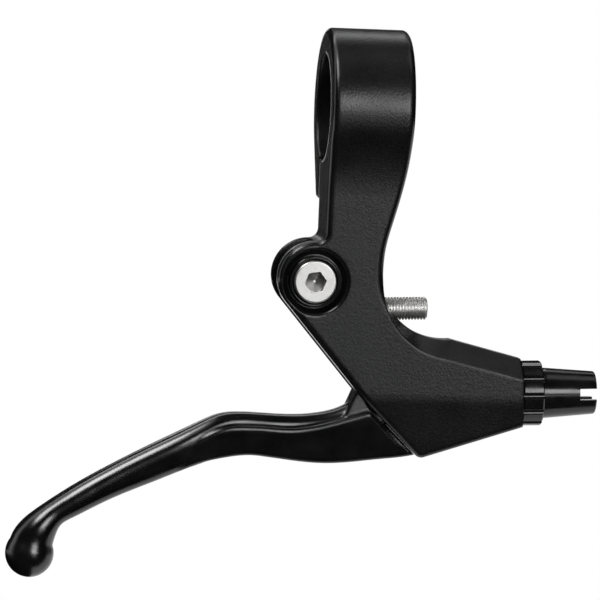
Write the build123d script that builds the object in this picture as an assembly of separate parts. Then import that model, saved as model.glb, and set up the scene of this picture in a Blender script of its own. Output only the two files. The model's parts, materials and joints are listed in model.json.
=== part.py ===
from build123d import *
import math
import os

# Flat-bar bicycle brake lever, in millimetres.
# X runs along the handlebar, Z is up, and the face that is looked at points to -Y.
# The origin is the centre of the clamp bore.

# Handlebar clamp
bar_diameter = 22.2
clamp_width = 17.0
ring_wall = 5.25
slit_gap = 2.0
lug_thickness = 3.2
lug_below_bolt = 4.4
bolt_to_bore = 1.4
clamp_boss_diameter = 10.6
clamp_boss_height = 4.4

# Casting
lever_offset = 4.6
body_depth = 13.8
front_lean = 2.3
belly_lean = 10.0
crease_radius = 14.0
bend_radius = 45.0
neck_blend_radius = 38.0
neck_waist = 12.25
throat_radius = 13.8
throat_dip = 0.8
edge_radius = 1.25
neck_edge_radius = 1.5
mouth_corner_radius = 1.7

# Pivot
pivot_x = -10.3
pivot_drop = 35.2
lever_tilt = 2.2
ear_radius = 7.6
ear_rise = 0.6
ear_blend_radius = 2.0
dish_radius = 7.1
dish_depth = 1.7
collar_wall = 0.55
collar_sink = 0.3

# Housing, measured from the pivot along and across the cable
nose_reach = 43.4
cable_drop = 23.9
nose_rise = 7.25
nose_sink = 6.6
nose_taper = 15.8
nose_low_taper = 16.8
back_angle = 51.5
mouth_angle = 46.8
ridge_width = 3.8
facet_drop = 3.7
throat_facet_shift = 2.2
throat_facet_sink = 1.6

# Blade
hub_radius = 7.0
hub_width = 7.0
heel_drop = 11.0
tongue_wall = 1.3
tongue_end_wall = 3.4
tongue_rise = 1.2
nipple_reach = 14.7
nipple_diameter = 7.2
cable_slot = 2.2
rib_width = 6.6
rib_edge_radius = 2.2
cheek_width = 9.0
cheek_corner = 0.7
finger_width = 9.2
finger_corner = 2.6
blade_lean = 10.0
shoulder_gap = 0.9
web_width = 6.0
ball_radius = 5.0
finger_reach = 66.45
finger_drop = 34.57
blade_swing = 35.0

# Pivot bush, sleeve and bolt
bush_wall = 0.9
bush_flange = 0.7
bush_flange_radius = 6.2
sleeve_wall = 0.95
pivot_thread = 5.0
pivot_head_diameter = 8.8
pivot_head_height = 2.3
pivot_head_proud = 0.4
pivot_hex = 4.0
pivot_hex_depth = 1.6
pivot_hex_turn = 8.0
pivot_nut_flats = 8.0
pivot_nut_height = 3.0
pivot_bolt_end = 0.6
head_edge = 0.4

# Clamp bolt
clamp_thread = 5.0
clamp_thread_reach = 10.0
clamp_head_diameter = 8.5
clamp_head_height = 5.0
clamp_hex = 4.0
clamp_hex_depth = 2.5
washer_diameter = 10.0
washer_thickness = 1.0

# Reach screw
reach_thread = 4.7
reach_drop = 6.2
reach_length = 16.7
reach_hex = 2.5
reach_hex_depth = 2.4

# Barrel adjuster and lock ring
barrel_diameter = 10.0
barrel_tip_diameter = 8.8
barrel_length = 11.2
barrel_grip = 3.0
barrel_tip_radius = 0.5
barrel_lip = 0.2
barrel_lip_width = 0.8
housing_diameter = 5.4
housing_depth = 6.5
cable_diameter = 2.2
barrel_slot = 2.3
barrel_slot_depth = 3.6
ring_diameter = 13.4
ring_width = 4.3
ring_flutes = 12
ring_edge = 0.25
ring_flute_radius = 0.8
ring_flute_depth = 0.5
adjuster_travel = 7.0

# Clearances
running_gap = 0.05
side_play = 0.1
slot_gap = 0.6
tip_gap = 0.3
face_gap = 0.1
bolt_gap = 0.25
press_gap = 0.02
slot_swing = 5.0

# Derived places
bar_radius = bar_diameter / 2
ring_radius = bar_radius + ring_wall
clamp_half = clamp_width / 2
mid_y = -lever_offset
body_half = body_depth / 2
back_y = mid_y + body_half
pivot_z = -pivot_drop
slot_half = hub_width / 2 + bush_flange + side_play
waist_x = neck_waist - clamp_half
throat_x = waist_x + throat_radius
clamp_bolt_z = -(bar_radius + clamp_thread / 2 + bolt_to_bore)
lug_front = back_y + slit_gap
lug_end = clamp_bolt_z - lug_below_bolt
nipple_distance = math.hypot(nipple_reach, cable_drop)
tongue_radius = nipple_distance + nipple_diameter / 2 + tongue_wall
tongue_spread = math.asin((nipple_diameter / 2 + tongue_end_wall) / nipple_distance)
tongue_angle = math.degrees(math.atan2(nipple_reach, cable_drop) + tongue_spread)
sleeve_radius = pivot_thread / 2 + bolt_gap / 2 + sleeve_wall
bush_bore = sleeve_radius + running_gap
eye_radius = bush_bore + bush_wall
front_slope = math.tan(math.radians(front_lean))
barrel_shank = adjuster_travel + barrel_grip
far = 4 * body_depth


def lever(along, up):
    """Point in the X-Z plane from distances along and across the cable, measured at the pivot."""
    tilt = math.radians(lever_tilt)
    x = pivot_x + along * math.cos(tilt) - up * math.sin(tilt)
    z = pivot_z + along * math.sin(tilt) + up * math.cos(tilt)
    return (x, z)


def heading(angle):
    """Unit vector at an angle in degrees from the cable's direction."""
    turn = math.radians(angle + lever_tilt)
    return (math.cos(turn), math.sin(turn))


def polar(radius, swing):
    """Point at a radius from the pivot, swung from straight down towards the nose."""
    turn = math.radians(swing)
    return lever(radius * math.sin(turn), -radius * math.cos(turn))


def step(point, direction, distance):
    """Point moved along a direction."""
    return (point[0] + direction[0] * distance, point[1] + direction[1] * distance)


def crossing(point, direction, other, other_direction):
    """Meeting point of two lines."""
    dx = other[0] - point[0]
    dz = other[1] - point[1]
    cross = direction[0] * other_direction[1] - direction[1] * other_direction[0]
    return step(point, direction, (dx * other_direction[1] - dz * other_direction[0]) / cross)


def on_circle(center, radius, point, direction):
    """First meeting point of a circle and a line, seen from the line's point."""
    dx = point[0] - center[0]
    dz = point[1] - center[1]
    half = dx * direction[0] + dz * direction[1]
    rest = dx * dx + dz * dz - radius * radius
    return step(point, direction, -half - math.sqrt(half * half - rest))


def at_depth(y):
    """Drawing plane that faces -Y at a depth."""
    return Plane.XZ.offset(-y)


def slab(sketch, y_back, y_front):
    """Drawing in the X-Z plane made solid between two depths."""
    return extrude(at_depth(y_back) * sketch, amount=y_back - y_front)


def both_sides(part):
    """Part and its mirror image about the lever's mid-plane."""
    return part + mirror(part, about=at_depth(mid_y))


def cable_frame(along, up):
    """Plane across the cable: its x is Y, its y is up and its normal points out of the nose."""
    x, z = lever(along, up)
    out_x, out_z = heading(0)
    return Plane(origin=(x, mid_y, z), x_dir=(0, 1, 0), z_dir=(out_x, 0, out_z))


def turned(points, frame):
    """Solid of revolution about the frame's normal from (radius, height) corners."""
    outline = Plane.XZ * make_face(Polyline(*points, close=True))
    return frame * revolve(outline, Axis.Z)


# Outline corners of the casting
nose_top = lever(nose_reach, nose_rise - cable_drop)
nose_bottom = lever(nose_reach, -nose_sink - cable_drop)
top_run = heading(180 - nose_taper)
bottom_run = heading(180 + nose_low_taper)
back_run = heading(-back_angle)
mouth_run = heading(-mouth_angle)
ear_center = (pivot_x, pivot_z + ear_rise)
ear_tangent = step(ear_center, heading(-90 - back_angle), ear_radius)
bend = crossing(ear_tangent, back_run, lever(0, -cable_drop), heading(0))
mouth_corner = crossing(bend, mouth_run, nose_bottom, bottom_run)
throat_foot = crossing(nose_top, top_run, (throat_x, 0), (0, 1))
throat_z = throat_foot[1] + (throat_radius - throat_dip) / abs(top_run[0])
throat_center = (throat_x, throat_z)
throat_start = (waist_x, throat_z)
blend_side = clamp_half + pivot_x + ear_blend_radius
blend_span = ear_radius + ear_blend_radius
blend_up = math.sqrt(blend_span**2 - blend_side**2)
blend_center = (ear_center[0] - blend_side, ear_center[1] + blend_up)
blend_end = (-clamp_half, blend_center[1])
ear_meet = step(ear_center, (-blend_side / blend_span, blend_up / blend_span), ear_radius)
throat_end = on_circle(throat_center, throat_radius, nose_top, top_run)
hub_tangent = step((pivot_x, pivot_z), heading(-90 - back_angle), hub_radius)


def arc_between(center, radius, start, end):
    """Lower arc of a circle from one of its points to another."""
    a = math.atan2(start[1] - center[1], start[0] - center[0])
    b = math.atan2(end[1] - center[1], end[0] - center[0])
    a = a - 2 * math.pi if a > 0 else a
    middle = (a + b) / 2
    return ThreePointArc(start, step(center, (math.cos(middle), math.sin(middle)), radius), end)


def rim_run():
    """Lower and left edges of the casting, from the nose by the mouth round the ear to the neck."""
    low = FilletPolyline(
        nose_bottom, mouth_corner, bend, ear_tangent, radius=(mouth_corner_radius, bend_radius)
    )
    ear_left = (ear_center[0] - ear_radius, ear_center[1])
    ear = ThreePointArc(ear_tangent, ear_left, ear_meet)
    return [*low.edges(), ear, arc_between(blend_center, ear_blend_radius, ear_meet, blend_end)]


def body_outline():
    """Outline of the casting, seen from the front."""
    top = ring_radius + edge_radius
    shoulder = (clamp_half, 0)
    narrowing = clamp_half - waist_x
    high = (clamp_half - 0.21 * narrowing, 0.41 * throat_z)
    low = (clamp_half - 0.73 * narrowing, 0.72 * throat_z)
    edges = [
        Line((-clamp_half, top), (clamp_half, top)),
        Line((clamp_half, top), shoulder),
        Spline(shoulder, high, low, throat_start, tangents=[(0, -1), (0, -1)]),
        arc_between(throat_center, throat_radius, throat_start, throat_end),
        Line(throat_end, nose_top),
        Line(nose_top, nose_bottom),
        *rim_run(),
        Line(blend_end, (-clamp_half, top)),
    ]
    return make_face(edges)


def front_at(z):
    """Depth of the casting's leaning front face at a height."""
    nose_z = lever(nose_reach, -cable_drop)[1]
    return mid_y - body_half - (z - nose_z) * front_slope


def side_outline():
    """Outline of the casting, seen along the bar: ring, leaning front, tapered belly and clamp lug."""
    crease = bend[1]
    base = mouth_corner[1] - edge_radius
    inset = (crease - base) * math.tan(math.radians(belly_lean))
    corners = [(back_y, 0), (front_at(0), 0), (front_at(crease), crease)]
    corners += [(front_at(crease) + inset, base), (back_y - inset, base), (back_y, crease)]
    plate = make_face(Polyline(*corners, close=True))
    plate = fillet([v for v in plate.vertices() if base < v.Y < 0], crease_radius)
    profile = Circle(ring_radius) + plate
    hollow = [v for v in profile.vertices() if v.X < -bar_radius and -ring_radius < v.Y < -edge_radius]
    profile = fillet(hollow, neck_blend_radius)
    lug_corner = (lug_front + lug_thickness, lug_end)
    lean = math.acos(ring_radius / math.hypot(*lug_corner)) + math.atan2(lug_end, lug_corner[0])
    tangent = (ring_radius * math.cos(lean), ring_radius * math.sin(lean))
    lug = make_face(Polyline((0, 0), tangent, lug_corner, (0, lug_end), close=True))
    return profile + lug


def rounded_blank():
    """Casting blank: front outline met with side outline, its outer edges rounded."""
    across = extrude(Plane.YZ.offset(-far) * side_outline(), amount=2 * far)
    blank = slab(body_outline(), far, -far) & across
    rim = Curve() + rim_run()
    along = [e for e in blank.edges() if abs(e.tangent_at(0.5).Y) < 0.5]
    outer = [e for e in along if rim.distance_to((e.center().X, e.center().Z, 0)) < running_gap]
    left = blank.faces().filter_by(Axis.X).sort_by(Axis.X)[0]
    wall = [e for e in left.edges() if e.center().Z > blend_end[1] + running_gap]
    blank = fillet(outer + wall, edge_radius)
    right = blank.faces().filter_by(Axis.X).sort_by(Axis.X)[-1]
    return fillet(right.edges().filter_by(GeomType.CIRCLE), neck_edge_radius)


def facet_outline(share):
    """Space above the throat and the nose, at a share of the way from the ridge to the face."""
    center = (throat_x + throat_facet_shift * share, throat_z - throat_facet_sink * share)
    down = heading(-90 - nose_taper)
    end = step(nose_top, down, facet_drop * share)
    beyond = step(end, top_run, -2 * edge_radius)
    radius = throat_radius
    meet = throat_end
    if share > 0:
        radius = (end[0] - center[0]) * down[0] + (end[1] - center[1]) * down[1]
        meet = step(center, down, radius)
    start = (center[0] - radius, center[1])
    edges = [
        arc_between(center, radius, start, meet),
        Line(meet, beyond),
        Line(beyond, (beyond[0], center[1])),
        Line((beyond[0], center[1]), start),
    ]
    return make_face(edges)


def facet_cutter():
    """Ruled cutter that leaves the sloping facets above the throat and the nose."""
    ridge = ridge_width / 2
    outside = body_half + 2 * edge_radius
    share = (outside - ridge) / (body_half - ridge)
    near = at_depth(mid_y - ridge) * facet_outline(0)
    away = at_depth(mid_y - outside) * facet_outline(share)
    return both_sides(loft([near, away], ruled=True))


def blade_slot():
    """Slot between the ears in which the hub and the tongue of the blade swing."""
    outer = tongue_radius + slot_gap
    swing = tongue_angle + slot_swing
    right = hub_radius + slot_gap
    heel = lever(right, slot_gap - heel_drop)
    edges = [
        Line(lever(0, 0), lever(right, 0)),
        Line(lever(right, 0), heel),
        Line(heel, polar(outer, swing)),
        ThreePointArc(polar(outer, swing), polar(outer, 0), polar(outer, -2 * blade_swing)),
        Line(polar(outer, -2 * blade_swing), lever(0, 0)),
    ]
    width = 2 * ear_radius
    left = Pos(pivot_x - width / 2, ear_center[1]) * Rectangle(width, width + 2 * slot_gap)
    hub = Pos(pivot_x, pivot_z) * Circle(hub_radius + slot_gap)
    return slab(make_face(edges) + left + hub, mid_y + slot_half, mid_y - slot_half)


def pivot_frame():
    """Plane across the pivot, facing the viewer, on the seat under the bolt's head."""
    seat_y = front_at(pivot_z) - pivot_head_proud + pivot_head_height
    return Plane(origin=(pivot_x, seat_y, pivot_z), x_dir=(1, 0, 0), z_dir=(0, -1, 0))


def clamp_frame():
    """Plane across the clamp bolt on the boss of the lug, with its normal pointing out of the back."""
    seat_y = lug_front + clamp_boss_height
    return Plane(origin=(0, seat_y, clamp_bolt_z), x_dir=(1, 0, 0), z_dir=(0, 1, 0))


def reach_frame(along):
    """Plane across the reach screw, with its normal pointing away from the blade."""
    return cable_frame(along, -reach_drop)


def pivot_dish():
    """Ring-shaped hollow round the collar that carries the bolt's head, square to the leaning face."""
    collar = pivot_head_diameter / 2 + bolt_gap + collar_wall
    face = Plane(
        origin=(pivot_x, front_at(pivot_z), pivot_z), x_dir=(1, 0, 0), z_dir=(0, -1, -front_slope)
    )
    edges = [
        Line((0, -collar_sink), (collar, -collar_sink)),
        Line((collar, -collar_sink), (collar, -dish_depth)),
        Spline((collar, -dish_depth), (dish_radius, 0), tangents=[(1, 0), (1, 0.3)]),
        Line((dish_radius, 0), (dish_radius, dish_depth)),
        Line((dish_radius, dish_depth), (0, dish_depth)),
        Line((0, dish_depth), (0, -collar_sink)),
    ]
    return face * revolve(Plane.XZ * make_face(edges), Axis.Z)


def lever_body():
    """Casting with clamp ring, neck, ears, housing and nose."""
    body = rounded_blank() - facet_cutter()
    clamp = clamp_frame()
    body += extrude(clamp * Circle(clamp_boss_diameter / 2), amount=-clamp_boss_height)
    body -= extrude(clamp * Circle(clamp_boss_diameter / 2), amount=ring_radius)
    body -= extrude(Plane.YZ.offset(-clamp_width) * Circle(bar_radius), amount=2 * clamp_width)
    body -= Pos(0, back_y + slit_gap / 2, lug_end / 2) * Box(2 * clamp_width, slit_gap, slit_gap - lug_end)
    body -= extrude(clamp * Circle(clamp_thread / 2 + bolt_gap), amount=-clamp_boss_height)
    thread = clamp_boss_height + slit_gap + clamp_thread_reach + tip_gap
    body -= extrude(clamp * Circle(clamp_thread / 2 + running_gap), amount=-thread)
    body -= blade_slot()
    pivot = pivot_frame()
    body -= extrude(pivot * Circle(pivot_thread / 2 + bolt_gap / 2), amount=body_depth, both=True)
    body -= extrude(pivot * Circle(pivot_head_diameter / 2 + bolt_gap), amount=body_depth)
    body -= pivot_dish()
    body -= extrude(reach_frame(0) * Circle(reach_thread / 2 + running_gap), amount=nose_reach)
    nose = cable_frame(nose_reach, -cable_drop)
    body -= extrude(nose * Circle(barrel_diameter / 2 + running_gap), amount=-(barrel_shank + tip_gap))
    body -= extrude(nose * Circle(cable_diameter), amount=-nose_reach / 2)
    return body


def from_mouth(along, down):
    """Point beside the blade, by its share of the way from the bend of the mouth to the ball."""
    return (bend[0] - along * finger_reach, bend[1] - down * finger_drop)


def blade_section(top, bottom, width, corner, lean):
    """Rounded section of the blade between its upper and its lower edge, its sides leaning inwards."""
    across = (top[0] - bottom[0], top[1] - bottom[1])
    half = math.hypot(*across) / 2
    frame = Plane(
        origin=((top[0] + bottom[0]) / 2, mid_y, (top[1] + bottom[1]) / 2),
        x_dir=(0, 1, 0),
        z_dir=(across[1], 0, -across[0]),
    )
    low = width / 2 - 2 * half * math.tan(math.radians(lean))
    corners = [(-width / 2, half), (width / 2, half), (low, -half), (-low, -half)]
    outline = make_face(Polyline(*corners, close=True))
    return frame * fillet(outline.vertices(), min(corner, 0.97 * low, 0.97 * half))


def rib_section(top, bottom, spread):
    """Section of the rib at a share of the way from the narrow rib to the finger part."""
    width = rib_width + spread * (finger_width - rib_width)
    corner = rib_edge_radius + spread * (finger_corner - rib_edge_radius)
    return blade_section(from_mouth(*top), from_mouth(*bottom), width, corner, blade_lean)


def blade_spine():
    """Rib, finger part and ball end of the blade, lofted through sections from root to tip."""
    ball = from_mouth(1, 1)
    ball_top = step(ball, (-1, 0), ball_radius)
    ball_low = step(ball, (1, 0), ball_radius)
    sections = [
        rib_section((0.000, 0.005), (-0.060, 0.150), 0),
        rib_section((0.050, 0.073), (-0.020, 0.200), 0),
        rib_section((0.112, 0.111), (0.075, 0.300), 0),
        rib_section((0.174, 0.127), (0.165, 0.310), 0),
        rib_section((0.298, 0.126), (0.295, 0.300), 0),
        rib_section((0.360, 0.123), (0.352, 0.300), 0),
        rib_section((0.422, 0.135), (0.400, 0.345), 0.3),
        rib_section((0.483, 0.184), (0.448, 0.408), 0.7),
        rib_section((0.543, 0.244), (0.505, 0.454), 1),
        rib_section((0.666, 0.366), (0.625, 0.551), 1),
        rib_section((0.818, 0.529), (0.778, 0.682), 1),
        rib_section((0.902, 0.631), (0.868, 0.775), 1),
        rib_section((0.968, 0.720), (0.902, 0.813), 1),
        blade_section(from_mouth(1.028, 0.815), from_mouth(0.918, 0.863), finger_width, ball_radius, 0),
        blade_section(from_mouth(1.055, 0.889), from_mouth(0.926, 0.917), finger_width, ball_radius, 0),
        blade_section(ball_top, ball_low, 2 * ball_radius, ball_radius, 0),
    ]
    return loft(sections) + Pos(ball[0], mid_y, ball[1]) * Sphere(ball_radius)


def cheek_section(top, bottom, share):
    """Section of the cheek, at a share of its full width."""
    corners = (from_mouth(*top), from_mouth(*bottom))
    return blade_section(*corners, share * cheek_width, cheek_corner, blade_lean)


def blade_cheek():
    """Cheek below the rib, from inside the mouth to where it fades out in the finger part."""
    sections = [
        cheek_section((-0.190, 0.080), (-0.190, 0.339), 1),
        cheek_section((-0.038, 0.085), (-0.038, 0.385), 1),
        cheek_section((0.029, 0.125), (0.024, 0.400), 1),
        cheek_section((0.090, 0.160), (0.088, 0.409), 1),
        cheek_section((0.183, 0.198), (0.182, 0.402), 1),
        cheek_section((0.290, 0.197), (0.285, 0.380), 1),
        cheek_section((0.375, 0.197), (0.362, 0.377), 1),
        cheek_section((0.430, 0.216), (0.410, 0.392), 1),
        cheek_section((0.480, 0.262), (0.456, 0.412), 0.97),
        cheek_section((0.540, 0.330), (0.512, 0.450), 0.89),
        cheek_section((0.600, 0.410), (0.575, 0.490), 0.78),
    ]
    return loft(sections)


def mouth_cutter(gap):
    """Everything on the casting's side of a plane at a gap from the mouth."""
    outward = heading(-90 - mouth_angle)
    start = step(step(bend, outward, gap), mouth_run, -far)
    end = step(start, mouth_run, 3 * far)
    corners = [start, end, step(end, outward, -2 * far), step(start, outward, -2 * far)]
    return slab(make_face(Polyline(*corners, close=True)), mid_y + far, mid_y - far)


def blade_tongue():
    """Hub and tongue that reach into the casting, with the heel for the reach screw."""
    root = crossing(hub_tangent, back_run, lever(0, tongue_rise - cable_drop), heading(0))
    heel_top = lever(hub_radius, 0)
    heel_low = lever(hub_radius, -heel_drop)
    edges = [
        Line(hub_tangent, root),
        Line(root, polar(tongue_radius, 8)),
        ThreePointArc(polar(tongue_radius, 8), polar(tongue_radius, 25), polar(tongue_radius, tongue_angle)),
        Line(polar(tongue_radius, tongue_angle), heel_low),
        Line(heel_low, heel_top),
        ThreePointArc(heel_top, lever(0, hub_radius), hub_tangent),
    ]
    return slab(make_face(edges), mid_y + hub_width / 2, mid_y - hub_width / 2)


def nipple_space():
    """Pocket through the tongue for the cable's nipple, and the way of the cable out of it."""
    nipple = Pos(*lever(nipple_reach, -cable_drop)) * Circle(nipple_diameter / 2)
    way = cable_frame(nipple_reach, -cable_drop) * Rectangle(cable_slot, cable_slot)
    return slab(nipple, mid_y + hub_width, mid_y - hub_width) + extrude(way, amount=nose_reach)


def lever_blade():
    """Blade with hub, tongue, rib, cheek, finger part and ball end."""
    cheek = blade_cheek()
    core = Pos(*bend) * Rectangle(4 * far, 4 * far)
    web = cheek & slab(core, mid_y + web_width / 2, mid_y - web_width / 2)
    blade = cheek - mouth_cutter(shoulder_gap)
    blade += web - mouth_cutter(face_gap)
    blade = blade + blade_spine() + blade_tongue()
    eye = pivot_frame() * Circle(eye_radius)
    return blade - extrude(eye, amount=far, both=True) - nipple_space()


def blade_bush(side):
    """Flanged bush in the blade's eye, on the front (-1) or the back (1)."""
    face = Plane(origin=(pivot_x, mid_y + side * hub_width / 2, pivot_z), x_dir=(1, 0, 0), z_dir=(0, side, 0))
    bush = extrude(face * Circle(bush_flange_radius), amount=bush_flange)
    bush += extrude(face * Circle(eye_radius - press_gap), amount=-(hub_width / 2 - tip_gap))
    return bush - extrude(face * Circle(bush_bore), amount=hub_width, both=True)


def pivot_sleeve():
    """Spacer tube between the ears, on which the bushes turn."""
    start = Plane(origin=(pivot_x, mid_y + slot_half, pivot_z), x_dir=(1, 0, 0), z_dir=(0, -1, 0))
    tube = Circle(sleeve_radius) - Circle(pivot_thread / 2 + bolt_gap / 2)
    return extrude(start * tube, amount=2 * slot_half)


def hex_socket(frame, flats, depth, turn=0):
    """Hexagonal key socket with the cone left by its drill, sunk below a head's face."""
    hexagon = RegularPolygon(flats / 2, 6, major_radius=False, rotation=turn)
    socket = extrude(frame * hexagon, amount=-depth)
    cone_height = flats / 5
    cone = Cone(0, flats / 2, cone_height, align=(Align.CENTER, Align.CENTER, Align.MAX))
    return socket + frame.offset(-depth) * cone


def pivot_bolt():
    """Pivot bolt with a low round head."""
    seat = pivot_frame()
    head = extrude(seat * Circle(pivot_head_diameter / 2), amount=pivot_head_height)
    head = fillet(head.edges().filter_by(GeomType.CIRCLE).sort_by(Axis.Y)[0], head_edge)
    head -= hex_socket(seat.offset(pivot_head_height), pivot_hex, pivot_hex_depth, pivot_hex_turn)
    length = back_y - seat.origin.Y + pivot_nut_height + pivot_bolt_end
    shank = extrude(seat * Circle(pivot_thread / 2), amount=-length)
    shank = chamfer(shank.edges().filter_by(GeomType.CIRCLE).sort_by(Axis.Y)[-1], head_edge)
    return head + shank


def pivot_nut():
    """Thin lock nut on the back ear."""
    face = Plane(origin=(pivot_x, back_y, pivot_z), x_dir=(1, 0, 0), z_dir=(0, 1, 0))
    nut = extrude(face * RegularPolygon(pivot_nut_flats / 2, 6, major_radius=False), amount=pivot_nut_height)
    crown_radius = pivot_nut_flats / 2
    crown = Cone(crown_radius + pivot_nut_height, crown_radius, pivot_nut_height,
                 align=(Align.CENTER, Align.CENTER, Align.MIN))
    nut &= face * crown
    return nut - extrude(face * Circle(pivot_thread / 2 + running_gap), amount=pivot_nut_height)


def clamp_washer():
    """Plain washer under the clamp bolt's head."""
    ring = Circle(washer_diameter / 2) - Circle(clamp_thread / 2 + bolt_gap)
    return extrude(clamp_frame() * ring, amount=washer_thickness)


def clamp_bolt():
    """Socket cap screw that pulls the lug towards the neck."""
    under = clamp_frame().offset(washer_thickness)
    head = extrude(under * Circle(clamp_head_diameter / 2), amount=clamp_head_height)
    head = fillet(head.edges().filter_by(GeomType.CIRCLE).sort_by(Axis.Y)[-1], head_edge)
    head -= hex_socket(under.offset(clamp_head_height), clamp_hex, clamp_hex_depth)
    length = washer_thickness + clamp_boss_height + slit_gap + clamp_thread_reach
    shank = extrude(under * Circle(clamp_thread / 2), amount=-length)
    return head + chamfer(shank.edges().filter_by(GeomType.CIRCLE).sort_by(Axis.Y)[0], head_edge)


def reach_screw():
    """Grub screw whose tip stops the blade's heel."""
    tip = reach_frame(hub_radius + tip_gap)
    screw = extrude(tip * Circle(reach_thread / 2), amount=reach_length)
    screw = chamfer(screw.edges().filter_by(GeomType.CIRCLE), head_edge)
    return screw - hex_socket(tip.offset(reach_length), reach_hex, reach_hex_depth)


def lock_ring():
    """Fluted ring nut on the barrel, against the nose."""
    face = cable_frame(nose_reach + face_gap, -cable_drop)
    rim = extrude(face * Circle(ring_diameter / 2), amount=ring_width)
    rim = chamfer(rim.edges().filter_by(GeomType.CIRCLE), ring_edge)
    pitch = ring_diameter / 2 + ring_flute_radius - ring_flute_depth
    flutes = Sketch() + PolarLocations(pitch, ring_flutes) * Circle(ring_flute_radius)
    rim -= extrude(face * flutes, amount=ring_width)
    return rim - extrude(face * Circle(barrel_diameter / 2 + running_gap), amount=ring_width)


def barrel_adjuster():
    """Turned barrel with a threaded shank, housing socket, cable hole and slotted tip."""
    base = cable_frame(nose_reach + ring_width + 2 * face_gap, -cable_drop)
    under = ring_width + 2 * face_gap + barrel_shank
    root = barrel_diameter / 2
    tip = barrel_tip_diameter / 2
    lip = root + barrel_lip
    corners = [(0, -under), (root, -under), (root, 0), (lip, 0), (lip, barrel_lip_width)]
    corners += [(tip, barrel_length), (0, barrel_length)]
    barrel = turned(corners, base)
    barrel = fillet(barrel.edges().filter_by(GeomType.CIRCLE).sort_by(Axis.X)[-1], barrel_tip_radius)
    end = base.offset(barrel_length)
    barrel -= extrude(end * Circle(housing_diameter / 2), amount=-housing_depth)
    barrel -= extrude(end * Circle(cable_diameter / 2), amount=-(barrel_length + under))
    return barrel - extrude(end * Rectangle(2 * barrel_diameter, barrel_slot), amount=-barrel_slot_depth)


def main():
    """Writes each piece to its own file."""
    os.makedirs("parts", exist_ok=True)
    pieces = {
        "lever_body": lever_body(),
        "lever_blade": lever_blade(),
        "front_bush": blade_bush(-1),
        "back_bush": blade_bush(1),
        "pivot_sleeve": pivot_sleeve(),
        "pivot_bolt": pivot_bolt(),
        "pivot_nut": pivot_nut(),
        "clamp_bolt": clamp_bolt(),
        "clamp_washer": clamp_washer(),
        "reach_screw": reach_screw(),
        "barrel_adjuster": barrel_adjuster(),
        "lock_ring": lock_ring(),
    }
    for name, piece in pieces.items():
        export_step(piece, f"parts/{name}.step")


main()
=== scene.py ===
import json
import logging
import math
from dataclasses import dataclass
from enum import Enum
from typing import Mapping, Optional, Sequence, Tuple, Union

import bpy
from mathutils import Matrix, Quaternion, Vector


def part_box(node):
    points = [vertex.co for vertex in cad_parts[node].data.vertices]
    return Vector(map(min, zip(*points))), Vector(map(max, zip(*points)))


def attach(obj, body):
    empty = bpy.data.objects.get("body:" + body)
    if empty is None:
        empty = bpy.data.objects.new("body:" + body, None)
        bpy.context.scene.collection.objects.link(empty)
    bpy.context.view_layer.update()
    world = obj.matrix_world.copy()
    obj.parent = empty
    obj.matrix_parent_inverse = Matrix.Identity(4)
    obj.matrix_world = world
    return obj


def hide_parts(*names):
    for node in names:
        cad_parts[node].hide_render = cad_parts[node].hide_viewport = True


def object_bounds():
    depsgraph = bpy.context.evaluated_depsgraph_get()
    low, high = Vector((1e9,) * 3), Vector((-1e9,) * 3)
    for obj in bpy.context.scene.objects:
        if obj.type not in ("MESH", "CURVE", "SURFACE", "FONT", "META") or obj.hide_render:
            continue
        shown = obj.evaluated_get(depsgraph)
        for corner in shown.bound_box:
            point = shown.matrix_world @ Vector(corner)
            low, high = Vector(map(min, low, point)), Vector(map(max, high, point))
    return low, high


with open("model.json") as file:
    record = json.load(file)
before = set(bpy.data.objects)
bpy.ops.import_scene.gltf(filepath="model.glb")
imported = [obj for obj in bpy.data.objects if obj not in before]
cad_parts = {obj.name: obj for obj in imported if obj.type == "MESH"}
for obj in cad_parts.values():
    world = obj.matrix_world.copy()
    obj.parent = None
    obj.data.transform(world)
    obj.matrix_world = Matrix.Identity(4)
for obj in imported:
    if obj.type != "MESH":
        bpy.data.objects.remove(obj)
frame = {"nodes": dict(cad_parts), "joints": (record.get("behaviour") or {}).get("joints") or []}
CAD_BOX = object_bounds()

Colour = Tuple[float, float, float]
Point = Tuple[float, float, float]
MM = 0.001
WHITE = (1.0, 1.0, 1.0, 1.0)
BAR_WAY = (1.0, 0.0, 0.0)
BOLT_WAY = (0.0, 1.0, 0.0)
UP = (0.0, 0.0, 1.0)
LOG = logging.getLogger("brake_lever")


class Socket:
    """A value on its way through the nodes of a finish, used in plain Python sums."""

    def __init__(self, sheet: "NodeSheet", socket: bpy.types.NodeSocket) -> None:
        """Keeps the socket and the sheet of nodes that it is on."""
        self.sheet = sheet
        self.socket = socket

    def _sum(self, operation: str, first: "Value", second: "Value") -> "Socket":
        """Adds one Math node.

        Args:
            operation: what the node works out.
            first: its first value or link.
            second: its second value or link.

        Returns:
            The node's result.
        """
        return self.sheet.add("ShaderNodeMath", {"operation": operation}, {0: first, 1: second})

    def __add__(self, other: "Value") -> "Socket":
        """self + other."""
        return self._sum("ADD", self, other)

    __radd__ = __add__

    def __sub__(self, other: "Value") -> "Socket":
        """self - other."""
        return self._sum("SUBTRACT", self, other)

    def __rsub__(self, other: "Value") -> "Socket":
        """other - self."""
        return self._sum("SUBTRACT", other, self)

    def __mul__(self, other: "Value") -> "Socket":
        """self * other."""
        return self._sum("MULTIPLY", self, other)

    __rmul__ = __mul__

    def wave(self) -> "Socket":
        """A sine wave from 0 to 1 with self as its angle."""
        return self._sum("SINE", self, 0.0) * 0.5 + 0.5


Value = Union[Socket, float, Sequence[float]]


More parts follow.
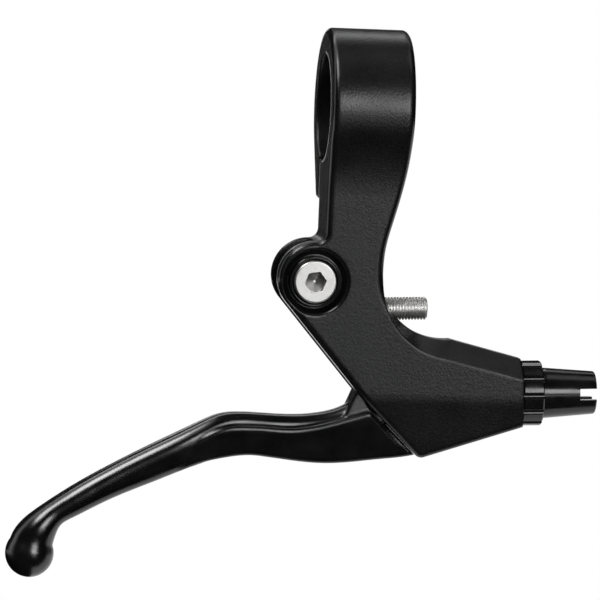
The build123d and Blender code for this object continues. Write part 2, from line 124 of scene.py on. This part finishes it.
class NodeSheet:
    """The nodes of one material or of the world."""

    def __init__(self, tree: bpy.types.NodeTree) -> None:
        """Starts with an empty sheet."""
        self.tree = tree
        self.tree.nodes.clear()

    def add(
        self,
        kind: str,
        settings: Optional[Mapping[str, object]] = None,
        inputs: Optional[Mapping[Union[str, int], Value]] = None,
        output: Union[str, int] = 0,
    ) -> Optional[Socket]:
        """Adds one node.

        Args:
            kind: the node's type.
            settings: the node's own settings, set before its sockets.
            inputs: values or links of its sockets, by name or number.
            output: name or number of the output to go on with.

        Returns:
            That output, or None for a node that has no outputs.
        """
        node = self.tree.nodes.new(kind)
        for name, setting in (settings or {}).items():
            setattr(node, name, setting)
        for name, value in (inputs or {}).items():
            if isinstance(value, Socket):
                self.tree.links.new(value.socket, node.inputs[name])
            else:
                node.inputs[name].default_value = value
        return Socket(self, node.outputs[output]) if len(node.outputs) else None

    def place(self) -> Socket:
        """Object coordinates, in metres in the shared frame."""
        return self.add("ShaderNodeTexCoord", output="Object")

    def noise(self, size: float, detail: float = 2.0, rough: float = 0.5) -> Socket:
        """Soft spots.

        Args:
            size: width of a spot in metres.
            detail: how many finer layers are added.
            rough: strength of the finer layers.

        Returns:
            A value round 0.5.
        """
        inputs = {"Vector": self.place(), "Scale": 1.0 / size, "Detail": detail, "Roughness": rough}
        return self.add("ShaderNodeTexNoise", {}, inputs)

    def pits(self, size: float) -> Socket:
        """Distance to the nearest of many scattered points, size metres apart."""
        inputs = {"Vector": self.place(), "Scale": 1.0 / size}
        return self.add("ShaderNodeTexVoronoi", {"feature": "SMOOTH_F1"}, inputs, "Distance")

    def blend(self, share: Value, first: Colour, second: Colour) -> Socket:
        """Colour between two.

        Args:
            share: 0 for the first colour and 1 for the second.
            first: the first colour.
            second: the second colour.

        Returns:
            The mixed colour.
        """
        inputs = {0: share, 6: (*first, 1.0), 7: (*second, 1.0)}
        return self.add("ShaderNodeMix", {"data_type": "RGBA"}, inputs, 2)

    def ramp(self, value: Value, low: float, high: float, first: float = 0.0, last: float = 1.0) -> Socket:
        """A value brought from one range to another and held at its ends.

        Args:
            value: what is brought over.
            low: value that gives first.
            high: value that gives last.
            first: result at low.
            last: result at high.

        Returns:
            The result.
        """
        inputs = {"Value": value, "From Min": low, "From Max": high, "To Min": first, "To Max": last}
        return self.add("ShaderNodeMapRange", {"clamp": True}, inputs)

    def vector(self, operation: str, first: Value, second: Value, output: str = "Vector") -> Socket:
        """Adds one Vector Math node.

        Args:
            operation: what the node works out.
            first: its first vector.
            second: its second vector.
            output: "Vector" or "Value".

        Returns:
            The node's result.
        """
        return self.add("ShaderNodeVectorMath", {"operation": operation}, {0: first, 1: second}, output)

    def along(self, axis: "Axis") -> Socket:
        """Distance in metres along an axis from its origin."""
        place = self.vector("SUBTRACT", self.place(), axis.origin)
        return self.vector("DOT_PRODUCT", place, axis.way, "Value")

    def radius(self, axis: "Axis") -> Socket:
        """Distance in metres from an axis."""
        place = self.vector("SUBTRACT", self.place(), axis.origin)
        return self.vector("LENGTH", self.vector("CROSS_PRODUCT", place, axis.way), (0.0, 0.0, 0.0), "Value")

    def distance(self, point: Point) -> Socket:
        """Distance in metres from a point."""
        return self.vector("DISTANCE", self.place(), point, "Value")

    def tooling(self, place: Socket, feed: float, drift: Socket) -> Socket:
        """Fine rings that a cutting tool leaves.

        Args:
            place: distance in metres across the rings.
            feed: metres from one ring to the next.
            drift: how far the rings wander, as an angle.

        Returns:
            A wave from 0 to 1.
        """
        return (place * (2.0 * math.pi / feed) + drift).wave()

    def bump(self, height: Socket, depth: float, normal: Optional[Socket] = None) -> Socket:
        """Normal of a surface with fine relief.

        Args:
            height: the relief, from 0 to 1.
            depth: height in metres that 1 stands for.
            normal: the normal without the relief, if not the surface's own.

        Returns:
            The bent normal.
        """
        inputs = {"Height": height, "Distance": depth}
        if normal:
            inputs["Normal"] = normal
        return self.add("ShaderNodeBump", {}, inputs)

    def eased(self, radius: float) -> Socket:
        """Normal with the edges rounded over this radius in metres, as a thick coat rounds them."""
        return self.add("ShaderNodeBevel", {"samples": 8}, {"Radius": radius})

    def seen(self) -> Socket:
        """Tells what looks at a surface.

        Returns:
            1 for a ray from the camera or off a shiny or clear surface, else 0.
        """
        camera = self.add("ShaderNodeLightPath", output="Is Camera Ray")
        glossy = self.add("ShaderNodeLightPath", output="Is Glossy Ray")
        clear = self.add("ShaderNodeLightPath", output="Is Transmission Ray")
        return self.ramp(camera + glossy + clear, 0.0, 1.0)

    def surface(self, inputs: Mapping[Union[str, int], Value]) -> None:
        """Closes a material with one Principled shader that takes these inputs."""
        self.close(self.add("ShaderNodeBsdfPrincipled", {}, inputs))

    def close(self, shader: Socket) -> None:
        """Closes a material with this shader."""
        self.add("ShaderNodeOutputMaterial", {}, {"Surface": shader})


@dataclass(frozen=True)
class Axis:
    """A line that a turned piece is round."""

    origin: Point
    way: Point

    @classmethod
    def through(cls, node: str, way: Point) -> "Axis":
        """The axis through the middle of a CAD node."""
        low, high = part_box(node)
        return cls(tuple((low + high) / 2), tuple(way))


class Plating(Enum):
    """How bright the zinc on a steel piece is, as its darkest and its lightest colour."""

    BRIGHT = ((0.55, 0.547, 0.537), (0.65, 0.647, 0.636))
    PLAIN = ((0.42, 0.42, 0.41), (0.6, 0.6, 0.59))
    FRESH = ((0.80, 0.795, 0.78), (0.88, 0.875, 0.86))


@dataclass(frozen=True)
class Finish:
    """A finish that makes its own material."""

    name: str

    def lay(self, sheet: NodeSheet) -> None:
        """Lays the nodes of the finish on a sheet."""
        raise NotImplementedError

    def material(self) -> bpy.types.Material:
        """Makes the finish.

        Returns:
            A new material.
        """
        material = bpy.data.materials.new(self.name)
        material.use_nodes = True
        self.lay(NodeSheet(material.node_tree))
        return material


@dataclass(frozen=True)
class CastCoat(Finish):
    """Satin coat on a blasted casting, smooth and glossy on its side walls and in the dish of the pivot."""

    pivot: Axis
    dish: float
    rim: float
    edge: float = 0.8 * MM
    dark: Colour = (0.0024, 0.0024, 0.0026)
    light: Colour = (0.0054, 0.0054, 0.0057)
    satin: float = 0.32
    gloss: float = 0.17
    grain: float = 0.42 * MM
    pit: float = 0.55 * MM
    cloud: float = 9.0 * MM
    relief: float = 0.046 * MM

    def lay(self, sheet: NodeSheet) -> None:
        """Lays the grain and the satin sheen on the faces, and the gloss on the walls and in the dish.

        Args:
            sheet: where the nodes go.
        """
        grain = sheet.noise(self.grain, 3.0, 0.6)
        cloud = sheet.noise(self.cloud)
        pits = sheet.pits(self.pit)
        facing = sheet.add("ShaderNodeNewGeometry", output="Normal")
        side = sheet.vector("DOT_PRODUCT", facing, BAR_WAY, "Value")
        walls = sheet.ramp(side * side, 0.10, 0.40)
        outside = sheet.ramp(sheet.radius(self.pivot), self.dish - self.rim, self.dish)
        faces = outside * (1.0 - walls)
        rough = sheet.ramp(grain * 0.5 + cloud * 0.5, 0.3, 0.7, self.satin - 0.05, self.satin + 0.06)
        tint = sheet.ramp(grain * 0.6 + cloud * 0.4, 0.3, 0.7)
        blasted = (grain * 0.7 + pits * 0.3) * (faces * 0.9 + 0.1)
        sheet.surface({
            "Base Color": sheet.blend(tint, self.dark, self.light),
            "Roughness": rough * faces + (1.0 - faces) * self.gloss,
            "Normal": sheet.bump(blasted, self.relief, sheet.eased(self.edge)),
        })


@dataclass(frozen=True)
class GlossCoat(Finish):
    """Deep gloss coat that flows over the edges, with a hint of orange peel and a little handling haze."""

    ball: Point
    near_ball: float
    off_ball: float
    edge: float = 1.1 * MM
    flow: float = 2.4 * MM
    dark: Colour = (0.0022, 0.0022, 0.0024)
    light: Colour = (0.0040, 0.0040, 0.0043)
    sheen: float = 0.18
    refraction: float = 1.66
    peel: float = 1.4 * MM
    haze: float = 7.0 * MM
    relief: float = 0.006 * MM

    def lay(self, sheet: NodeSheet) -> None:
        """Lays the peel and the haze, with the widest flow at the ball end.

        Args:
            sheet: where the nodes go.
        """
        peel = sheet.noise(self.peel, 1.0)
        haze = sheet.noise(self.haze, 4.0, 0.6)
        share = sheet.ramp(sheet.distance(self.ball), self.near_ball, self.off_ball)
        ends = {0: share, 4: sheet.eased(self.flow), 5: sheet.eased(self.edge)}
        flowing = sheet.add("ShaderNodeMix", {"data_type": "VECTOR"}, ends, 1)
        sheet.surface({
            "Base Color": sheet.blend(sheet.ramp(haze, 0.35, 0.65), self.dark, self.light),
            "Roughness": sheet.ramp(haze, 0.35, 0.7, self.sheen - 0.02, self.sheen + 0.07),
            "IOR": self.refraction,
            "Normal": sheet.bump(peel, self.relief, flowing),
        })


@dataclass(frozen=True)
class TurnedBlack(Finish):
    """Black anodised metal with the fine rings of the lathe round an axis."""

    axis: Axis
    dark: Colour = (0.0032, 0.0032, 0.0034)
    light: Colour = (0.0055, 0.0055, 0.0058)
    sheen: float = 0.17
    feed: float = 0.11 * MM
    drift: float = 3.0 * MM
    haze: float = 3.6 * MM
    relief: float = 0.0016 * MM

    def lay(self, sheet: NodeSheet) -> None:
        """Lays the lathe rings and a little uneven sheen.

        Args:
            sheet: where the nodes go.
        """
        rings = sheet.tooling(sheet.along(self.axis), self.feed, sheet.noise(self.drift) * 2.0)
        haze = sheet.noise(self.haze, 3.0)
        sheet.surface({
            "Base Color": sheet.blend(sheet.ramp(haze, 0.35, 0.65), self.dark, self.light),
            "Roughness": sheet.ramp(haze, 0.3, 0.7, self.sheen - 0.03, self.sheen + 0.06),
            "Normal": sheet.bump(rings, self.relief),
        })


@dataclass(frozen=True)
class PlatedSteel(Finish):
    """Zinc-plated steel with turning rings round its axis and faint clouds in the plating."""

    axis: Axis
    plating: Plating
    sheen: float = 0.36
    feed: float = 0.16 * MM
    drift: float = 2.5 * MM
    cloud: float = 1.6 * MM
    relief: float = 0.0022 * MM

    def lay(self, sheet: NodeSheet) -> None:
        """Lays the rings and the clouds.

        Args:
            sheet: where the nodes go.
        """
        rings = sheet.tooling(sheet.radius(self.axis), self.feed, sheet.noise(self.drift) * 2.5)
        cloud = sheet.noise(self.cloud, 4.0, 0.6)
        sheet.surface({
            "Base Color": sheet.blend(sheet.ramp(cloud, 0.3, 0.62), *self.plating.value),
            "Metallic": 1.0,
            "Roughness": sheet.ramp(cloud, 0.3, 0.7, self.sheen - 0.04, self.sheen + 0.08),
            "Normal": sheet.bump(rings, self.relief),
        })


@dataclass(frozen=True)
class BearingPolymer(Finish):
    """Dull black polymer with a fine moulded texture."""

    dark: Colour = (0.020, 0.020, 0.021)
    light: Colour = (0.034, 0.034, 0.035)
    grain: float = 0.18 * MM
    relief: float = 0.008 * MM

    def lay(self, sheet: NodeSheet) -> None:
        """Lays the moulded texture.

        Args:
            sheet: where the nodes go.
        """
        grain = sheet.noise(self.grain)
        sheet.surface({
            "Base Color": sheet.blend(sheet.ramp(grain, 0.35, 0.65), self.dark, self.light),
            "Roughness": sheet.ramp(grain, 0.3, 0.7, 0.5, 0.64),
            "Normal": sheet.bump(grain, self.relief),
        })


@dataclass(frozen=True)
class PaleFloor(Finish):
    """Pale floor that keeps a soft shadow and runs out into the white background."""

    axis: Axis
    colour: Colour = (0.82, 0.82, 0.82)
    speck: float = 4.0 * MM
    speck_tone: float = 0.985
    glow: float = 0.62
    near: float = 0.16
    far: float = 0.46

    def lay(self, sheet: NodeSheet) -> None:
        """Lays the floor's own colour under a share of white that grows outwards.

        Args:
            sheet: where the nodes go.
        """
        specks = tuple(self.speck_tone * part for part in self.colour)
        colour = sheet.blend(sheet.noise(self.speck), self.colour, specks)
        matt = sheet.add("ShaderNodeBsdfDiffuse", {}, {"Color": colour})
        white = sheet.add("ShaderNodeEmission", {}, {"Color": WHITE, "Strength": 1.0})
        share = sheet.ramp(sheet.radius(self.axis), self.near, self.far, self.glow, 1.0) * sheet.seen()
        sheet.close(sheet.add("ShaderNodeMixShader", {}, {0: share, 1: matt, 2: white}))


@dataclass(frozen=True)
class DarkFelt(Finish):
    """Dark felt on the cards that give a shiny black surface its depth."""

    shade: float
    nap: float = 3.0 * MM

    def lay(self, sheet: NodeSheet) -> None:
        """Lays the felt.

        Args:
            sheet: where the nodes go.
        """
        ends = ((share * self.shade,) * 3 for share in (0.7, 1.3))
        colour = sheet.blend(sheet.noise(self.nap), *ends)
        sheet.close(sheet.add("ShaderNodeBsdfDiffuse", {}, {"Color": colour}))


class Shop:
    """The few steps that more than one piece uses."""

    @staticmethod
    def clear() -> None:
        """Deselects everything."""
        bpy.ops.object.select_all(action="DESELECT")

    @staticmethod
    def only(piece: bpy.types.Object) -> None:
        """Selects one piece and makes it the active one.

        Args:
            piece: the piece.
        """
        Shop.clear()
        piece.select_set(True)
        bpy.context.view_layer.objects.active = piece

    @staticmethod
    def subtract(piece: bpy.types.Object, cutter: bpy.types.Object) -> None:
        """Cuts one closed shape out of a piece and throws the cutter away.

        Args:
            piece: the piece that is cut.
            cutter: the shape that is taken out.
        """
        cut = piece.modifiers.new("cut", "BOOLEAN")
        cut.operation = "DIFFERENCE"
        cut.solver = "EXACT"
        cut.object = cutter
        Shop.only(piece)
        bpy.ops.object.modifier_apply(modifier=cut.name)
        bpy.data.objects.remove(cutter, do_unlink=True)

    @staticmethod
    def settle(piece: bpy.types.Object, place: Matrix, crease: float) -> None:
        """Puts a piece in its place, with the place in its mesh, and smooths it.

        Args:
            piece: the piece, modelled round the Z axis at the origin.
            place: where it goes.
            crease: angle in degrees above which an edge stays sharp.
        """
        Shop.only(piece)
        piece.matrix_world = place
        bpy.ops.object.transform_apply(location=True, rotation=True, scale=True)
        bpy.ops.object.mode_set(mode="EDIT")
        bpy.ops.mesh.select_all(action="SELECT")
        bpy.ops.mesh.remove_doubles(threshold=1e-7)
        bpy.ops.mesh.normals_make_consistent(inside=False)
        bpy.ops.object.mode_set(mode="OBJECT")
        bpy.ops.object.shade_smooth_by_angle(angle=math.radians(crease))

    @staticmethod
    def way_of(joint: str) -> Point:
        """The way in which a joint slides or about which it turns."""
        return next(tuple(one["axis"]) for one in frame["joints"] if one["name"] == joint)

    @staticmethod
    def coat(node: str, finish: Finish) -> None:
        """Gives a CAD node its finish.

        Args:
            node: the node's name.
            finish: what its surface is.
        """
        slots = frame["nodes"][node].data.materials
        slots.clear()
        slots.append(finish.material())
        LOG.info("%s: %s", node, finish.name)

    @staticmethod
    def zinc(node: str) -> None:
        """Gives a CAD node that is round a bolt's way the plain zinc of the hidden fasteners."""
        axis = Axis.through(node, BOLT_WAY)
        Shop.coat(node, PlatedSteel(node + "_zinc", axis, Plating.PLAIN))


@dataclass
class Casting:
    """The cast body with its clamp ring."""

    dish: float = 8.4 * MM
    rim: float = 2.2 * MM

    def dress(self) -> None:
        """Coats the casting."""
        pivot = Axis.through("pivot_bolt", BOLT_WAY)
        Shop.coat("lever_body", CastCoat("cast_black", pivot, self.dish, self.rim))


@dataclass
class Blade:
    """The finger blade and the bushes in its eye."""

    ball_radius: float = 5.0 * MM
    near_ball: float = 6.0 * MM
    off_ball: float = 12.0 * MM

    def dress(self) -> None:
        """Coats the blade, with its ball end in the low corner of its box, and the bushes."""
        low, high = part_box("lever_blade")
        ball = (low.x + self.ball_radius, (low.y + high.y) / 2.0, low.z + self.ball_radius)
        Shop.coat("lever_blade", GlossCoat("gloss_black", ball, self.near_ball, self.off_ball))
        for node in ("front_bush", "back_bush"):
            Shop.coat(node, BearingPolymer(node + "_polymer"))


@dataclass
class Adjuster:
    """The cable barrel and its lock ring."""

    def dress(self) -> None:
        """Coats both as work from the lathe, round the cable."""
        cable = Axis.through("lock_ring", Shop.way_of("cable_adjust"))
        Shop.coat("barrel_adjuster", TurnedBlack("turned_black", cable))
        Shop.coat("lock_ring", TurnedBlack("ring_black", cable))


@dataclass
class Fasteners:
    """The bright pivot bolt, and the plain steel that holds the pivot and the clamp."""

    def dress(self) -> None:
        """Plates the bolts, the nut, the sleeve and the washer."""
        pivot = Axis.through("pivot_bolt", BOLT_WAY)
        Shop.coat("pivot_bolt", PlatedSteel("bolt_bright", pivot, Plating.BRIGHT))
        for node in ("pivot_nut", "pivot_sleeve", "clamp_bolt", "clamp_washer"):
            Shop.zinc(node)


@dataclass
class ReachScrew:
    """Grub screw with a real thread, which stands for its plain CAD solid."""

    length: float = 16.7 * MM
    crest: float = 2.35 * MM
    depth: float = 0.30 * MM
    pitch: float = 0.635 * MM
    crest_share: float = 0.36
    flank_share: float = 0.56
    lead: float = 0.35 * MM
    hex_flats: float = 2.5 * MM
    hex_depth: float = 2.4 * MM
    crease: float = 75.0
    sides: int = 72
    bands: int = 4
    rows: int = 12
    sheen: float = 0.42
    relief: float = 0.0001 * MM

    def build(self) -> bpy.types.Object:
        """Models the screw along its slide.

        Returns:
            The finished piece.
        """
        Shop.clear()
        bpy.ops.mesh.primitive_cylinder_add(vertices=self.sides, radius=self.crest, depth=self.length)
        screw = bpy.context.object
        screw.name = "reach_screw_threaded"
        screw.data.name = screw.name
        self.cut_thread(screw)
        Shop.clear()
        bpy.ops.mesh.primitive_cylinder_add(
            vertices=6, radius=self.hex_flats / math.sqrt(3.0), depth=2.0 * self.hex_depth,
            location=(0.0, 0.0, self.length / 2.0),
        )
        Shop.subtract(screw, bpy.context.object)
        low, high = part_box("reach_screw")
        turn = Vector(UP).rotation_difference(Vector(Shop.way_of("reach_adjust")))
        place = Matrix.Translation((low + high) / 2.0) @ turn.to_matrix().to_4x4()
        Shop.settle(screw, place, self.crease)
        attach(screw, "reach")
        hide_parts("reach_screw")
        LOG.info("%s: %d faces", screw.name, len(screw.data.polygons))
        return screw

    def cut_thread(self, screw: bpy.types.Object) -> None:
        """Divides the side into bands, these into rows, and sinks them to the thread's form.

        Args:
            screw: the plain cylinder along Z.
        """
        rows = round(self.length / self.pitch * self.rows / self.bands)
        for parts in (self.bands, rows):
            self.pick_lengthways(screw)
            bpy.ops.object.mode_set(mode="EDIT")
            bpy.ops.mesh.subdivide(number_cuts=parts - 1)
            bpy.ops.object.mode_set(mode="OBJECT")
        for vertex in screw.data.vertices:
            turn = vertex.co.z / self.pitch - math.atan2(vertex.co.y, vertex.co.x) / (2.0 * math.pi)
            to_end = self.length / 2.0 - abs(vertex.co.z)
            sink = max(self.tooth(turn), self.lead - to_end)
            share = (self.crest - sink) / self.crest
            vertex.co.x *= share
            vertex.co.y *= share

    def pick_lengthways(self, screw: bpy.types.Object) -> None:
        """Selects the edges that run along the screw.

        Args:
            screw: the cylinder along Z.
        """
        bpy.ops.object.mode_set(mode="EDIT")
        bpy.ops.mesh.select_mode(type="EDGE")
        bpy.ops.mesh.select_all(action="DESELECT")
        bpy.ops.object.mode_set(mode="OBJECT")
        for edge in screw.data.edges:
            first, second = (screw.data.vertices[index].co for index in edge.vertices)
            edge.select = (first.xy - second.xy).length < 1e-6

    def tooth(self, turn: float) -> float:
        """How far a point of the thread lies below its crest.

        Args:
            turn: place across the thread, in pitches.

        Returns:
            Depth in metres.
        """
        across = abs((turn % 1.0) - 0.5) * 2.0
        down = min(1.0, max(0.0, (across - self.crest_share) / self.flank_share))
        return self.depth * down * down * (3.0 - 2.0 * down)

    def dress(self, screw: bpy.types.Object) -> None:
        """Plates the screw.

        Args:
            screw: the finished piece.
        """
        slide = Axis.through("reach_screw", Shop.way_of("reach_adjust"))
        finish = PlatedSteel("screw_bright", slide, Plating.FRESH, self.sheen, relief=self.relief)
        screw.data.materials.append(finish.material())
        LOG.info("%s: %s", screw.name, finish.name)


@dataclass(frozen=True)
class Lamp:
    """A soft rectangular studio lamp."""

    name: str
    place: Point
    target: Point
    width: float
    height: float
    level: float
    roll: float = 0.0

    def hang(self) -> None:
        """Hangs the lamp, out of the camera's own sight."""
        light = bpy.data.lights.new(self.name, "AREA")
        light.shape = "RECTANGLE"
        light.size = self.width
        light.size_y = self.height
        light.energy = self.level * math.pi * self.width * self.height
        lamp = bpy.data.objects.new(self.name, light)
        way = Vector(self.target) - Vector(self.place)
        aim = way.to_track_quat("-Z", "Y") @ Quaternion(UP, math.radians(self.roll))
        lamp.matrix_world = Matrix.Translation(self.place) @ aim.to_matrix().to_4x4()
        lamp.visible_camera = False
        bpy.context.scene.collection.objects.link(lamp)


class Facing(Enum):
    """How a card hangs, as its turns about X, Y and Z."""

    UP = (0.0, 0.0, 0.0)
    FRONT = (math.pi / 2.0, 0.0, 0.0)
    SIDE = (math.pi / 2.0, 0.0, math.pi / 2.0)


@dataclass(frozen=True)
class Card:
    """A dark card beside the set, which only reflections see."""

    name: str
    facing: Facing
    place: Point
    half: Tuple[float, float]
    shade: float = 0.006

    def hang(self) -> None:
        """Hangs the card."""
        Shop.clear()
        bpy.ops.mesh.primitive_plane_add(size=2.0, location=self.place, rotation=self.facing.value)
        card = bpy.context.object
        card.name = self.name
        card.scale = (*self.half, 1.0)
        card.data.materials.append(DarkFelt(self.name + "_felt", self.shade).material())
        card.visible_camera = False
        card.visible_diffuse = False
        card.visible_transmission = False
        card.visible_shadow = False


@dataclass
class Studio:
    """Floor, white surroundings, dark cards and lamps."""

    drop: float = 60.0 * MM
    floor_radius: float = 1.6
    ambient: float = 0.30
    lamps: Tuple[Lamp, ...] = (
        Lamp("front_softbox", (0.50, -1.75, 0.33), (0.0, 0.0, -0.04), 0.80, 0.58, 8.0),
        Lamp("left_softbox", (-0.62, -0.40, 0.98), (-0.03, 0.0, -0.06), 0.35, 0.66, 12.0, 46.0),
        Lamp("back_softbox", (-0.22, 0.80, 0.92), (-0.01, 0.0, -0.05), 0.95, 0.24, 2.6),
        Lamp("low_fill", (0.16, -0.60, -0.134), (0.0, 0.0, -0.04), 0.20, 0.034, 4.5),
        Lamp("right_fill", (0.62, -0.10, 1.20), (0.02, 0.0, -0.05), 0.60, 0.70, 1.0),
    )
    cards: Tuple[Card, ...] = (
        Card("front_card", Facing.FRONT, (0.0, -2.2, 0.9), (1.6, 1.3)),
        Card("top_card", Facing.UP, (0.575, -0.55, 1.7), (1.025, 1.65)),
        Card("back_card", Facing.FRONT, (0.0, 1.2, 0.62), (1.6, 0.46)),
        Card("back_left_card", Facing.FRONT, (-0.83, 1.0, 0.46), (0.77, 0.61), 0.015),
        Card("back_right_card", Facing.FRONT, (1.07, 1.0, 0.46), (0.77, 0.61), 0.10),
        Card("low_card", Facing.UP, (0.0, -1.115, -0.154), (1.6, 1.085)),
        Card("low_left_card", Facing.UP, (-0.28, 0.16, -0.153), (0.225, 0.19)),
        Card("low_back_card", Facing.UP, (-0.27, 0.54, -0.152), (0.24, 0.41)),
        Card("left_card", Facing.SIDE, (-0.9, -1.05, 0.37), (1.15, 0.62)),
        Card("right_card", Facing.SIDE, (0.9, -0.65, 0.7), (1.55, 0.95)),
    )

    def build(self) -> None:
        """Sets the studio up."""
        self.light_world()
        self.lay_floor()
        for card in self.cards:
            card.hang()
        for lamp in self.lamps:
            lamp.hang()

    def light_world(self) -> None:
        """White surroundings for the camera and for reflections, softer as a light."""
        world = bpy.data.worlds.new("white_room")
        world.use_nodes = True
        sheet = NodeSheet(world.node_tree)
        strength = sheet.ramp(sheet.seen(), 0.0, 1.0, self.ambient, 1.0)
        white = sheet.add("ShaderNodeBackground", {}, {"Color": WHITE, "Strength": strength})
        sheet.add("ShaderNodeOutputWorld", {}, {"Surface": white})
        bpy.context.scene.world = world

    def lay_floor(self) -> None:
        """Lays the round floor below the lever."""
        Shop.clear()
        height = CAD_BOX[0].z - self.drop
        bpy.ops.mesh.primitive_circle_add(
            vertices=96, radius=self.floor_radius, fill_type="NGON", location=(0.0, 0.0, height)
        )
        floor = bpy.context.object
        floor.name = "floor"
        bpy.ops.object.transform_apply(location=True, rotation=True, scale=True)
        middle = (CAD_BOX[0] + CAD_BOX[1]) / 2.0
        floor.data.materials.append(PaleFloor("pale_floor", Axis(tuple(middle), UP)).material())


@dataclass
class Viewpoint:
    """The photograph's camera."""

    azimuth: float = -7.4
    elevation: float = 4.5
    roll: float = 2.4
    target: Point = (-11.94 * MM, -1.61 * MM, -39.84 * MM)
    distance: float = 1.5
    lens: float = 437.4
    sensor: float = 36.0
    clip: float = 0.01

    def build(self) -> None:
        """Makes the camera and gives it to the scene."""
        turn, rise = math.radians(self.azimuth), math.radians(self.elevation)
        level = math.cos(rise)
        back = Vector((math.sin(turn) * level, -math.cos(turn) * level, math.sin(rise)))
        lens = bpy.data.cameras.new("photo_camera")
        lens.lens = self.lens
        lens.sensor_width = self.sensor
        lens.clip_start = self.clip
        camera = bpy.data.objects.new("photo_camera", lens)
        aim = back.to_track_quat("Z", "Y") @ Quaternion(UP, math.radians(self.roll))
        place = Vector(self.target) + self.distance * back
        camera.matrix_world = Matrix.Translation(place) @ aim.to_matrix().to_4x4()
        bpy.context.scene.collection.objects.link(camera)
        bpy.context.scene.camera = camera


def main() -> None:
    """Builds and dresses the lever, and sets it in the studio."""
    logging.basicConfig(level=logging.INFO, format="%(message)s")
    bpy.context.scene.view_settings.view_transform = "Standard"
    for group in (Casting(), Blade(), Adjuster(), Fasteners()):
        group.dress()
    screw = ReachScrew()
    screw.dress(screw.build())
    Studio().build()
    Viewpoint().build()


if __name__ == "__main__":
    main()
